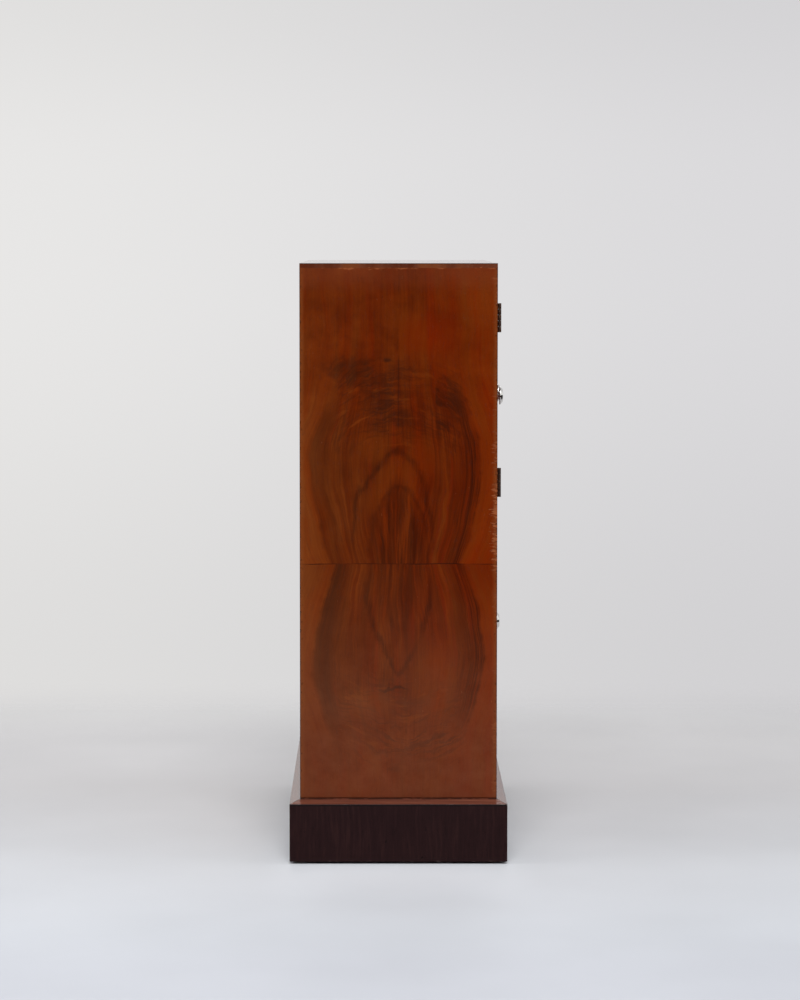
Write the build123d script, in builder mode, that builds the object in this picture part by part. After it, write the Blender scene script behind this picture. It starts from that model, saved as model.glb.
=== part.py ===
from build123d import *
import os

# Storage cabinet on a plinth: a pair of doors above, one deep drawer below.
# Millimetres, +Z up, front towards -Y, origin on the floor under the middle of the whole box.

# Case
case_width = 700
case_depth = 340
case_height = 925
side_thickness = 18
top_thickness = 18
top_lap = 8  # part of the top's thickness that covers the ends of the sides
bottom_thickness = 18
divider_thickness = 18
back_thickness = 6
back_rebate = 8  # how far the back panel reaches into the boards around it
back_slack = 0.5
shelf_thickness = 16
shelf_slack = 0.5
shelf_setback = 40  # from the back of the doors to the shelf
shelf_drop = 30  # from the middle of the cupboard down to the underside of the shelf

# Plinth
plinth_step = 18  # how far the plinth stands out beyond the case
plinth_height = 99
plinth_thickness = 18
cap_edge = 1
cap_rise = 7
cap_width = 62
block_size = 30
block_drop = 10  # from the underside of the cap down to the corner blocks
glide_height = 4
glide_radius = 11
glide_nail_radius = 1.2
glide_nail_length = 14

# Doors
door_thickness = 20
door_gap = 1.5
hinge_gap = 2
meeting_gap = 3

# Hinges
hinge_length = 49
hinge_spread = 284  # between the middles of the two hinges of a door
knuckle_count = 5
knuckle_radius = 3.2
knuckle_gap = 0.3
hinge_stand = 3.6  # hinge axis in front of the case
hinge_pin_radius = 1.4
hinge_pin_end = 0.5
hinge_run = 0.05
leaf_thickness = 1.4
leaf_half_gap = 0.4
leaf_reach = 15
leaf_slack = 0.1
leaf_screw_setback = 8.5
leaf_screw_spacing = 16
leaf_screw_count = 3

# Knobs
knob_projection = 22.3
knob_rim_radius = 16.5
knob_rim = 1.2
knob_rim_chamfer = 0.8
knob_head = 7.3
knob_face_radius = 11.5
knob_dome = 1
knob_neck_radius = 7.7
knob_waist = 0.7
knob_rose_radius = 10
knob_rose = 1.8
door_knob_inset = 50  # from the middle of the case to the knob of a door
door_knob_drop = 7
drawer_knob_rise = 29
bolt_radius = 2
bolt_run = 0.1
bolt_bite = 12
bolt_head_radius = 4.6
bolt_head = 2.6
bolt_slot_width = 1
bolt_slot_depth = 1.2

# Door catches
catch_inset = 46
catch_drop = 15
catch_width = 12
catch_strip = 0.8
catch_gap = 0.2
catch_flange = 13
catch_leaf = 12
catch_back = 6  # from the middle of the ball to the back of the clip
stud_plate_radius = 6
stud_plate = 1.5
stud_radius = 1.8
stud_length = 13
stud_ball_radius = 3.2
stud_tail = 10

# Drawer
drawer_setback = 3.4
drawer_gap = 1.5
drawer_end_gap = 2
drawer_front_thickness = 20
drawer_side_thickness = 12
drawer_back_thickness = 12
drawer_bottom_thickness = 6
drawer_side_gap = 0.8
drawer_head_gap = 3
drawer_rear_gap = 8
drawer_run = 0.3
drawer_groove = 5
drawer_groove_rise = 10
drawer_groove_slack = 0.2
drawer_back_drop = 8
tail_count = 7
tail_depth = 12
tail_root = 24
tail_flare = 3  # how much wider a tail is on each side at its end
tail_fit = 0.05
runner_width = 20
runner_height = 16
runner_end_gap = 2
stop_length = 40
stop_depth = 20
stop_height = 10
stop_inset = 160
stop_gap = 0.3

# Fixings
dowel_radius = 3
dowel_in_side = 11
dowel_in_board = 25
dowel_end_inset = 50
dowel_fit = 0.05
peg_radius = 3
peg_in_side = 10
peg_out = 10
peg_collar_radius = 4.5
peg_collar = 1
peg_front_inset = 40
peg_rear_inset = 40
peg_fit = 0.05
screw_fit = 0.05
screw_slot_width = 0.7
screw_slot_depth = 0.6
leaf_screw_head = 2.5
leaf_screw_shank = 1.3
leaf_screw_length = 12
wood_screw_head = 3.5
wood_screw_shank = 1.75
back_screw_length = 20
back_screw_count = 6
clip_screw_length = 14
runner_screw_length = 30
runner_screw_count = 3
runner_screw_inset = 40
plinth_screw_length = 22
plinth_screw_inset = 42
bottom_screw_length = 24
bottom_screw_count = 5
bottom_screw_inset = 60

# Levels and faces that several pieces share
plinth_top = glide_height + plinth_height
case_bottom = plinth_top + cap_edge + cap_rise
case_top = case_bottom + case_height
side_top = case_top - top_lap
top_under = case_top - top_thickness
floor_level = case_bottom + bottom_thickness
opening_height = (top_under - floor_level - divider_thickness) / 2
divider_bottom = floor_level + opening_height
divider_top = divider_bottom + divider_thickness
door_middle = divider_top + opening_height / 2
drawer_middle = floor_level + opening_height / 2

half_width = case_width / 2
inner_half = half_width - side_thickness
case_y = (knob_projection - plinth_step) / 2
front_y = case_y - case_depth / 2
back_y = case_y + case_depth / 2
back_inner_y = back_y - back_thickness
door_inner_y = front_y + door_thickness

hinge_axis_y = front_y - hinge_stand
hinge_levels = {"upper": door_middle + hinge_spread / 2, "lower": door_middle - hinge_spread / 2}
leaf_rear_y = front_y + leaf_reach
leaf_screw_y = front_y + leaf_screw_setback
leaf_screw_offsets = [
    (i - (leaf_screw_count - 1) / 2) * leaf_screw_spacing for i in range(leaf_screw_count)
]
door_knob_z = door_middle - door_knob_drop

shelf_half = inner_half - peg_collar - shelf_slack
shelf_bottom = door_middle - shelf_drop
shelf_front_y = door_inner_y + shelf_setback
shelf_rear_y = back_inner_y - shelf_slack
peg_z = shelf_bottom - peg_radius - peg_fit
peg_ys = [shelf_front_y + peg_front_inset, shelf_rear_y - peg_rear_inset]

stud_z = top_under - catch_drop
stud_ball_y = door_inner_y + stud_plate + stud_length
clip_back_y = stud_ball_y + catch_back
clip_screw_y = clip_back_y - catch_flange / 2

drawer_face_y = front_y + drawer_setback
drawer_inner_y = drawer_face_y + drawer_front_thickness
drawer_rear_y = back_inner_y - drawer_rear_gap
drawer_back_front_y = drawer_rear_y - drawer_back_thickness
box_half = inner_half - drawer_side_gap
box_inner_half = box_half - drawer_side_thickness
runner_top = floor_level + runner_height
box_bottom = runner_top + drawer_run
box_top = divider_bottom - drawer_head_gap
drawer_floor_bottom = box_bottom + drawer_groove_rise
drawer_floor_top = drawer_floor_bottom + drawer_bottom_thickness
drawer_back_bottom = drawer_floor_top + drawer_groove_slack
drawer_back_top = box_top - drawer_back_drop
drawer_knob_z = drawer_middle + drawer_knob_rise
runner_front_y = drawer_inner_y + runner_end_gap
runner_rear_y = back_inner_y - runner_end_gap

dowel_ys = [front_y + dowel_end_inset, case_y, back_y - dowel_end_inset]
dowel_zs = [
    case_bottom + bottom_thickness / 2,
    divider_bottom + divider_thickness / 2,
    (top_under + side_top) / 2,
]

FRONT = (90, 0, 0)
REAR = (-90, 0, 0)
DOWN = (180, 0, 0)
TOWARDS_X = {1: (0, 90, 0), -1: (0, -90, 0)}
HANDS = {"left": -1, "right": 1}
HEAD_OUT = (Align.CENTER, Align.CENTER, Align.MAX)

os.makedirs("parts", exist_ok=True)


def save(piece, name):
    piece.part.label = name
    export_step(piece.part, f"parts/{name}.step")


def block(xs, ys, zs, mode=Mode.ADD):
    """A board between two places on each axis."""
    low = [min(pair) for pair in (xs, ys, zs)]
    high = [max(pair) for pair in (xs, ys, zs)]
    with Locations(tuple((a + b) / 2 for a, b in zip(low, high))):
        Box(*[b - a for a, b in zip(low, high)], mode=mode)


def rod_x(xs, y, z, radius, mode=Mode.ADD):
    with Locations(Location(((xs[0] + xs[1]) / 2, y, z), TOWARDS_X[1])):
        Cylinder(radius, abs(xs[1] - xs[0]), mode=mode)


def rod_y(x, ys, z, radius, mode=Mode.ADD):
    with Locations(Location((x, (ys[0] + ys[1]) / 2, z), FRONT)):
        Cylinder(radius, abs(ys[1] - ys[0]), mode=mode)


def rod_z(x, y, zs, radius, mode=Mode.ADD):
    with Locations((x, y, (zs[0] + zs[1]) / 2)):
        Cylinder(radius, abs(zs[1] - zs[0]), mode=mode)


def screws(places, head, shank, length):
    """Slotted countersunk screws, with the middle of each head at its place."""
    with Locations(*places):
        Cone(shank, head, head - shank, align=HEAD_OUT)
        Cylinder(shank, length, align=HEAD_OUT)
        Box(3 * head, screw_slot_width, screw_slot_depth, align=HEAD_OUT, mode=Mode.SUBTRACT)


def screw_holes(places, head, shank, length):
    with Locations(*places):
        Cone(
            shank + screw_fit,
            head + screw_fit,
            head - shank,
            align=HEAD_OUT,
            mode=Mode.SUBTRACT,
        )
        Cylinder(shank + screw_fit, length + screw_fit, align=HEAD_OUT, mode=Mode.SUBTRACT)


def spread(low, high, count):
    """Evenly spaced places from low to high."""
    return [low + (high - low) * i / (count - 1) for i in range(count)]


def hinge_axis_x(hand):
    return hand * (inner_half - hinge_gap / 2)


def leaf_face_x(hand, outward):
    """The face of a closed leaf that looks at the other leaf."""
    return hinge_axis_x(hand) + outward * leaf_half_gap


def leaf_screw_places(hand, outward):
    """Screw heads lie in the leaf's inner face and look back at the other leaf."""
    x = leaf_face_x(hand, outward)
    return [
        Location((x, leaf_screw_y, level + offset), TOWARDS_X[-outward])
        for level in hinge_levels.values()
        for offset in leaf_screw_offsets
    ]


def leaf_mortises(hand, outward):
    """The shallow housings that hold the two leaves of one door, and their screw holes."""
    x = leaf_face_x(hand, outward)
    for level in hinge_levels.values():
        reach = hinge_length / 2 + leaf_slack
        block(
            (x, x + outward * leaf_thickness),
            (front_y, leaf_rear_y + leaf_slack),
            (level - reach, level + reach),
            Mode.SUBTRACT,
        )
    screw_holes(leaf_screw_places(hand, outward), leaf_screw_head, leaf_screw_shank, leaf_screw_length)


back_screw_side_x = inner_half + back_rebate / 2
back_screw_zs = spread(floor_level + back_rebate, top_under - back_rebate, back_screw_count)
back_screw_places = [
    Location((hand * back_screw_side_x, back_y, z), REAR)
    for hand in HANDS.values()
    for z in back_screw_zs
] + [
    Location((x, back_y, divider_bottom + divider_thickness / 2), REAR)
    for x in spread(-inner_half / 2, inner_half / 2, 3)
]

runner_screw_ys = spread(
    runner_front_y + runner_screw_inset, runner_rear_y - runner_screw_inset, runner_screw_count
)


def runner_screw_places(hand):
    return [
        Location((hand * (inner_half - runner_width), y, floor_level + runner_height / 2), TOWARDS_X[-hand])
        for y in runner_screw_ys
    ]


# Sides: full-height boards, rebated for the back, housed for the hinges
for hand_name, hand in HANDS.items():
    with BuildPart() as side:
        block((hand * inner_half, hand * half_width), (front_y, back_y), (case_bottom, side_top))
        block(
            (hand * inner_half, hand * (inner_half + back_rebate)),
            (back_inner_y, back_y),
            (floor_level - back_rebate, top_under + back_rebate),
            Mode.SUBTRACT,
        )
        leaf_mortises(hand, hand)
        for y in dowel_ys:
            for z in dowel_zs:
                reach = hand * (inner_half + dowel_in_side + dowel_fit)
                rod_x((hand * inner_half, reach), y, z, dowel_radius + dowel_fit, Mode.SUBTRACT)
        for y in peg_ys:
            reach = hand * (inner_half + peg_in_side + peg_fit)
            rod_x((hand * inner_half, reach), y, peg_z, peg_radius + peg_fit, Mode.SUBTRACT)
        screw_holes(back_screw_places, wood_screw_head, wood_screw_shank, back_screw_length)
        screw_holes(runner_screw_places(hand), wood_screw_head, wood_screw_shank, runner_screw_length)
    save(side, f"{hand_name}_side")


def dowel_holes(z):
    """Holes in both ends of a level board."""
    for hand in HANDS.values():
        for y in dowel_ys:
            reach = hand * (inner_half - dowel_in_board - dowel_fit)
            rod_x((hand * inner_half, reach), y, z, dowel_radius + dowel_fit, Mode.SUBTRACT)


catch_xs = {hand_name: hand * catch_inset for hand_name, hand in HANDS.items()}
clip_screw_places = [
    Location((x, clip_screw_y, top_under - catch_strip), DOWN) for x in catch_xs.values()
]

# Top: drops between the sides and laps over their ends
with BuildPart() as top_panel:
    block((-half_width, half_width), (front_y, back_y), (side_top, case_top))
    block((-inner_half, inner_half), (front_y, back_y), (top_under, side_top))
    block(
        (-inner_half, inner_half),
        (back_inner_y, back_y),
        (top_under, top_under + back_rebate),
        Mode.SUBTRACT,
    )
    dowel_holes(dowel_zs[2])
    screw_holes(clip_screw_places, wood_screw_head, wood_screw_shank, clip_screw_length)
save(top_panel, "top_panel")

plinth_screw_x = half_width + plinth_step - plinth_screw_inset
plinth_screw_y = case_depth / 2 + plinth_step - plinth_screw_inset
plinth_screw_places = [
    Location((x, case_y + end * plinth_screw_y, plinth_top), DOWN)
    for x in (-plinth_screw_x / 2, plinth_screw_x / 2)
    for end in (-1, 1)
] + [
    Location((end * plinth_screw_x, y, plinth_top), DOWN)
    for end in (-1, 1)
    for y in (case_y - plinth_screw_y / 2, case_y + plinth_screw_y / 2)
]

with BuildPart() as bottom_panel:
    block((-inner_half, inner_half), (front_y, back_y), (case_bottom, floor_level))
    block(
        (-inner_half, inner_half),
        (back_inner_y, back_y),
        (floor_level - back_rebate, floor_level),
        Mode.SUBTRACT,
    )
    dowel_holes(dowel_zs[0])
    screw_holes(plinth_screw_places, wood_screw_head, wood_screw_shank, plinth_screw_length)
save(bottom_panel, "bottom_panel")

with BuildPart() as divider:
    block((-inner_half, inner_half), (front_y, back_inner_y), (divider_bottom, divider_top))
    dowel_holes(dowel_zs[1])
    screw_holes(back_screw_places, wood_screw_head, wood_screw_shank, back_screw_length)
save(divider, "divider")

with BuildPart() as case_dowels:
    for hand in HANDS.values():
        for y in dowel_ys:
            for z in dowel_zs:
                rod_x(
                    (hand * (inner_half - dowel_in_board), hand * (inner_half + dowel_in_side)),
                    y,
                    z,
                    dowel_radius,
                )
save(case_dowels, "case_dowels")

# Back: plywood screwed into the rebates
back_half = inner_half + back_rebate - back_slack
with BuildPart() as back_panel:
    block(
        (-back_half, back_half),
        (back_inner_y, back_y),
        (floor_level - back_rebate + back_slack, top_under + back_rebate - back_slack),
    )
    screw_holes(back_screw_places, wood_screw_head, wood_screw_shank, back_screw_length)
save(back_panel, "back_panel")

with BuildPart() as back_screws:
    screws(back_screw_places, wood_screw_head, wood_screw_shank, back_screw_length)
save(back_screws, "back_screws")

# Cupboard shelf, loose on four brass pegs
with BuildPart() as shelf:
    block(
        (-shelf_half, shelf_half),
        (shelf_front_y, shelf_rear_y),
        (shelf_bottom, shelf_bottom + shelf_thickness),
    )
save(shelf, "shelf")

with BuildPart() as shelf_pegs:
    for hand in HANDS.values():
        for y in peg_ys:
            ends = (hand * (inner_half + peg_in_side), hand * (inner_half - peg_out))
            rod_x(ends, y, peg_z, peg_radius)
            collar = (hand * inner_half, hand * (inner_half - peg_collar))
            rod_x(collar, y, peg_z, peg_collar_radius)
save(shelf_pegs, "shelf_pegs")

# Drawer runners, screwed to the sides, and stops on the bottom panel
for hand_name, hand in HANDS.items():
    with BuildPart() as runner:
        block(
            (hand * inner_half, hand * (inner_half - runner_width)),
            (runner_front_y, runner_rear_y),
            (floor_level, runner_top),
        )
        screw_holes(runner_screw_places(hand), wood_screw_head, wood_screw_shank, runner_screw_length)
    save(runner, f"{hand_name}_runner")

with BuildPart() as runner_screws:
    for hand in HANDS.values():
        screws(runner_screw_places(hand), wood_screw_head, wood_screw_shank, runner_screw_length)
save(runner_screws, "runner_screws")

with BuildPart() as drawer_stops:
    for hand in HANDS.values():
        middle = hand * stop_inset
        start = drawer_inner_y + stop_gap
        block(
            (middle - stop_length / 2, middle + stop_length / 2),
            (start, start + stop_depth),
            (floor_level, floor_level + stop_height),
        )
save(drawer_stops, "drawer_stops")

# Plinth: four mitred boards and a mitred cap frame with a shallow bevel all round
PLINTH_SIDES = {
    "front": (Vector(0, -1, 0), case_depth / 2 + plinth_step, half_width + plinth_step),
    "right": (Vector(1, 0, 0), half_width + plinth_step, case_depth / 2 + plinth_step),
    "back": (Vector(0, 1, 0), case_depth / 2 + plinth_step, half_width + plinth_step),
    "left": (Vector(-1, 0, 0), half_width + plinth_step, case_depth / 2 + plinth_step),
}
UP = Vector(0, 0, 1)

for side_name, (outward, reach, half_length) in PLINTH_SIDES.items():
    along = UP.cross(outward)

    with BuildPart() as plinth_board:
        base = Plane(origin=(0, case_y, glide_height), x_dir=outward, z_dir=UP)
        with BuildSketch(base):
            with BuildLine():
                Polyline(
                    (reach, -half_length),
                    (reach, half_length),
                    (reach - plinth_thickness, half_length - plinth_thickness),
                    (reach - plinth_thickness, plinth_thickness - half_length),
                    close=True,
                )
            make_face()
        extrude(amount=plinth_height)
    save(plinth_board, f"plinth_{side_name}")

    with BuildPart() as cap:
        base = Plane(origin=(0, case_y, plinth_top), x_dir=outward, z_dir=UP)
        with BuildSketch(base):
            with BuildLine():
                Polyline(
                    (reach, -half_length),
                    (reach, half_length),
                    (reach - cap_width, half_length - cap_width),
                    (reach - cap_width, cap_width - half_length),
                    close=True,
                )
            make_face()
        extrude(amount=cap_edge + cap_rise)
        section = Plane(origin=(0, case_y, plinth_top), x_dir=outward, z_dir=outward.cross(UP))
        with BuildSketch(section):
            with BuildLine():
                Polyline(
                    (reach, cap_edge),
                    (reach, cap_edge + cap_rise),
                    (reach - plinth_step, cap_edge + cap_rise),
                    close=True,
                )
            make_face()
        extrude(amount=half_length, both=True, mode=Mode.SUBTRACT)
        screw_holes(plinth_screw_places, wood_screw_head, wood_screw_shank, plinth_screw_length)
    save(cap, f"cap_{side_name}")

with BuildPart() as plinth_screws:
    screws(plinth_screw_places, wood_screw_head, wood_screw_shank, plinth_screw_length)
save(plinth_screws, "plinth_screws")

corner_x = half_width + plinth_step - plinth_thickness - block_size / 2
corner_y = case_depth / 2 + plinth_step - plinth_thickness - block_size / 2
corners = [(x, case_y + y) for x in (-corner_x, corner_x) for y in (-corner_y, corner_y)]

with BuildPart() as corner_blocks:
    for x, y in corners:
        half = block_size / 2
        block((x - half, x + half), (y - half, y + half), (glide_height, plinth_top - block_drop))
        nail_hole = (glide_height, glide_height + glide_nail_length + dowel_fit)
        rod_z(x, y, nail_hole, glide_nail_radius + dowel_fit, Mode.SUBTRACT)
save(corner_blocks, "corner_blocks")

with BuildPart() as glides:
    for x, y in corners:
        rod_z(x, y, (0, glide_height), glide_radius)
        rod_z(x, y, (0, glide_height + glide_nail_length), glide_nail_radius)
save(glides, "glides")


# Butt hinges: case leaf with the odd knuckles, door leaf with the even ones, and a loose pin
def hinge_leaf(hand, outward, level, first_knuckle):
    axis_x = hinge_axis_x(hand)
    face_x = leaf_face_x(hand, outward)
    plate = (face_x, face_x + outward * leaf_thickness)
    low = level - hinge_length / 2
    pitch = hinge_length / knuckle_count
    clear_y = hinge_axis_y + knuckle_radius + knuckle_gap
    with BuildPart() as leaf:
        block(plate, (clear_y, leaf_rear_y), (low, low + hinge_length))
        for i in range(first_knuckle, knuckle_count, 2):
            span = (low + i * pitch + knuckle_gap / 2, low + (i + 1) * pitch - knuckle_gap / 2)
            block(plate, (hinge_axis_y, clear_y), span)
            rod_z(axis_x, hinge_axis_y, span, knuckle_radius)
        bore = hinge_pin_radius + hinge_run
        rod_z(axis_x, hinge_axis_y, (low, low + hinge_length), bore, Mode.SUBTRACT)
        screw_holes(leaf_screw_places(hand, outward), leaf_screw_head, leaf_screw_shank, leaf_screw_length)
    return leaf


for hand_name, hand in HANDS.items():
    for level_name, level in hinge_levels.items():
        case_leaf = hinge_leaf(hand, hand, level, 0)
        save(case_leaf, f"{hand_name}_{level_name}_case_leaf")
        door_leaf = hinge_leaf(hand, -hand, level, 1)
        save(door_leaf, f"{hand_name}_{level_name}_door_leaf")

        with BuildPart() as hinge_pin:
            half = hinge_length / 2
            rod_z(hinge_axis_x(hand), hinge_axis_y, (level - half, level + half), hinge_pin_radius)
            for end in (-1, 1):
                tip = (level + end * half, level + end * (half + hinge_pin_end))
                rod_z(hinge_axis_x(hand), hinge_axis_y, tip, knuckle_radius)
        save(hinge_pin, f"{hand_name}_{level_name}_hinge_pin")

with BuildPart() as case_leaf_screws:
    for hand in HANDS.values():
        screws(leaf_screw_places(hand, hand), leaf_screw_head, leaf_screw_shank, leaf_screw_length)
save(case_leaf_screws, "case_leaf_screws")

# Spring clips of the door catches: one strip of brass with two leaves around the stud
for hand_name, x in catch_xs.items():
    with BuildPart() as clip:
        width = (x - catch_width / 2, x + catch_width / 2)
        grip = stud_ball_radius + catch_gap
        lower = stud_z - grip - catch_strip
        block(width, (clip_back_y - catch_strip, clip_back_y), (lower, top_under))
        block(width, (clip_back_y - catch_flange, clip_back_y), (top_under - catch_strip, top_under))
        for low in (lower, stud_z + grip):
            block(width, (clip_back_y - catch_leaf, clip_back_y), (low, low + catch_strip))
        screw_holes(clip_screw_places, wood_screw_head, wood_screw_shank, clip_screw_length)
    save(clip, f"{hand_name}_catch_clip")

with BuildPart() as catch_clip_screws:
    screws(clip_screw_places, wood_screw_head, wood_screw_shank, clip_screw_length)
save(catch_clip_screws, "catch_clip_screws")


# Turned knobs: a rose, a waisted neck and a bevelled head, held by a bolt from behind
def knob(x, face_y, z):
    head_back = knob_projection - knob_head
    rim_front = head_back + knob_rim_chamfer + knob_rim
    shoulder = knob_projection - knob_dome
    with BuildPart() as turned:
        with BuildSketch(Plane(origin=(x, face_y, z), x_dir=(1, 0, 0), z_dir=(0, 0, 1))):
            with BuildLine():
                Polyline((0, 0), (knob_rose_radius, 0), (knob_rose_radius, -knob_rose))
                Line((knob_rose_radius, -knob_rose), (knob_neck_radius, -knob_rose))
                ThreePointArc(
                    (knob_neck_radius, -knob_rose),
                    (knob_neck_radius - knob_waist, -(knob_rose + head_back) / 2),
                    (knob_neck_radius, -head_back),
                )
                Polyline(
                    (knob_neck_radius, -head_back),
                    (knob_rim_radius - knob_rim_chamfer, -head_back),
                    (knob_rim_radius, -head_back - knob_rim_chamfer),
                    (knob_rim_radius, -rim_front),
                    (knob_face_radius, -shoulder),
                )
                RadiusArc(
                    (knob_face_radius, -shoulder),
                    (0, -knob_projection),
                    (knob_face_radius**2 + knob_dome**2) / (2 * knob_dome),
                )
                Line((0, -knob_projection), (0, 0))
            make_face()
        revolve(axis=Axis((x, face_y, z), (0, 1, 0)))
        rod_y(x, (face_y, face_y - bolt_bite - bolt_run), z, bolt_radius + bolt_run, Mode.SUBTRACT)
    return turned


def knob_bolt(x, face_y, z, thickness):
    with BuildPart() as bolt:
        seat_y = face_y + thickness
        rod_y(x, (face_y - bolt_bite, seat_y), z, bolt_radius)
        rod_y(x, (seat_y, seat_y + bolt_head), z, bolt_head_radius)
        slot = (seat_y + bolt_head - bolt_slot_depth, seat_y + bolt_head)
        half = bolt_slot_width / 2
        block((x - bolt_head_radius, x + bolt_head_radius), slot, (z - half, z + half), Mode.SUBTRACT)
    return bolt


# Doors: veneered boards set flush between the sides
for hand_name, hand in HANDS.items():
    knob_x = hand * door_knob_inset
    catch_x = catch_xs[hand_name]

    with BuildPart() as door:
        block(
            (hand * (inner_half - hinge_gap), hand * meeting_gap / 2),
            (front_y, door_inner_y),
            (divider_top + door_gap, top_under - door_gap),
        )
        leaf_mortises(hand, -hand)
        rod_y(knob_x, (front_y, door_inner_y), door_knob_z, bolt_radius + bolt_run, Mode.SUBTRACT)
        tail = (door_inner_y - stud_tail - screw_fit, door_inner_y)
        rod_y(catch_x, tail, stud_z, stud_radius + screw_fit, Mode.SUBTRACT)
    save(door, f"{hand_name}_door_panel")

    with BuildPart() as door_leaf_screws:
        screws(leaf_screw_places(hand, -hand), leaf_screw_head, leaf_screw_shank, leaf_screw_length)
    save(door_leaf_screws, f"{hand_name}_door_leaf_screws")

    save(knob(knob_x, front_y, door_knob_z), f"{hand_name}_door_knob")
    save(knob_bolt(knob_x, front_y, door_knob_z, door_thickness), f"{hand_name}_knob_bolt")

    with BuildPart() as stud:
        rod_y(catch_x, (door_inner_y - stud_tail, stud_ball_y), stud_z, stud_radius)
        rod_y(catch_x, (door_inner_y, door_inner_y + stud_plate), stud_z, stud_plate_radius)
        with Locations((catch_x, stud_ball_y, stud_z)):
            Sphere(stud_ball_radius)
    save(stud, f"{hand_name}_catch_stud")

# Drawer: dovetailed box, plywood bottom in grooves, front set a little back
tail_pitch = (drawer_back_top - drawer_back_bottom) / tail_count
tail_middles = [drawer_back_bottom + (i + 0.5) * tail_pitch for i in range(tail_count)]
groove = (drawer_floor_bottom - drawer_groove_slack, drawer_floor_top + drawer_groove_slack)


def tails(hand, root_y, depth, direction, fit, mode):
    """A row of tails across one drawer side, growing from root_y and wider at the end."""
    with BuildSketch(Plane.YZ.offset(hand * box_half - hand * drawer_side_thickness)) as row:
        for middle in tail_middles:
            root = tail_root / 2 + fit
            end = root + tail_flare
            end_y = root_y + direction * (depth + fit)
            with BuildLine():
                Polyline(
                    (root_y, middle - root),
                    (end_y, middle - end),
                    (end_y, middle + end),
                    (root_y, middle + root),
                    close=True,
                )
            make_face()
    extrude(row.sketch, amount=hand * drawer_side_thickness, mode=mode)


def half_blind_sockets():
    for hand in HANDS.values():
        tails(hand, drawer_inner_y, tail_depth, -1, tail_fit, Mode.SUBTRACT)


def through_sockets():
    for hand in HANDS.values():
        tails(hand, drawer_back_front_y, drawer_back_thickness, 1, tail_fit, Mode.SUBTRACT)


with BuildPart() as drawer_front:
    front_half = inner_half - drawer_end_gap
    block(
        (-front_half, front_half),
        (drawer_face_y, drawer_inner_y),
        (floor_level + drawer_gap, divider_bottom - drawer_gap),
    )
    half_blind_sockets()
    block(
        (-box_inner_half - drawer_groove, box_inner_half + drawer_groove),
        (drawer_inner_y - drawer_groove, drawer_inner_y),
        groove,
        Mode.SUBTRACT,
    )
    rod_y(0, (drawer_face_y, drawer_inner_y), drawer_knob_z, bolt_radius + bolt_run, Mode.SUBTRACT)
save(drawer_front, "drawer_front")

for hand_name, hand in HANDS.items():
    with BuildPart() as drawer_side:
        block(
            (hand * box_half, hand * box_inner_half),
            (drawer_inner_y, drawer_back_front_y),
            (box_bottom, box_top),
        )
        tails(hand, drawer_inner_y, tail_depth, -1, 0, Mode.ADD)
        tails(hand, drawer_back_front_y, drawer_back_thickness, 1, 0, Mode.ADD)
        block(
            (hand * box_inner_half, hand * (box_inner_half + drawer_groove)),
            (drawer_inner_y, drawer_back_front_y),
            groove,
            Mode.SUBTRACT,
        )
    save(drawer_side, f"drawer_{hand_name}_side")

bottom_screw_xs = spread(
    -box_inner_half + bottom_screw_inset, box_inner_half - bottom_screw_inset, bottom_screw_count
)
bottom_screw_y = drawer_rear_y - drawer_back_thickness / 2
bottom_screw_places = [Location((x, bottom_screw_y, drawer_floor_bottom), DOWN) for x in bottom_screw_xs]

with BuildPart() as drawer_back:
    block(
        (-box_half, box_half),
        (drawer_back_front_y, drawer_rear_y),
        (drawer_back_bottom, drawer_back_top),
    )
    through_sockets()
    screw_holes(bottom_screw_places, wood_screw_head, wood_screw_shank, bottom_screw_length)
save(drawer_back, "drawer_back")

with BuildPart() as drawer_bottom:
    floor_half = box_inner_half + drawer_groove - drawer_groove_slack
    block(
        (-floor_half, floor_half),
        (drawer_inner_y - drawer_groove + drawer_groove_slack, drawer_rear_y),
        (drawer_floor_bottom, drawer_floor_top),
    )
    screw_holes(bottom_screw_places, wood_screw_head, wood_screw_shank, bottom_screw_length)
save(drawer_bottom, "drawer_bottom")

with BuildPart() as drawer_bottom_screws:
    screws(bottom_screw_places, wood_screw_head, wood_screw_shank, bottom_screw_length)
save(drawer_bottom_screws, "drawer_bottom_screws")

save(knob(0, drawer_face_y, drawer_knob_z), "drawer_knob")
save(knob_bolt(0, drawer_face_y, drawer_knob_z, drawer_front_thickness), "drawer_knob_bolt")
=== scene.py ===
import math

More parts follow.
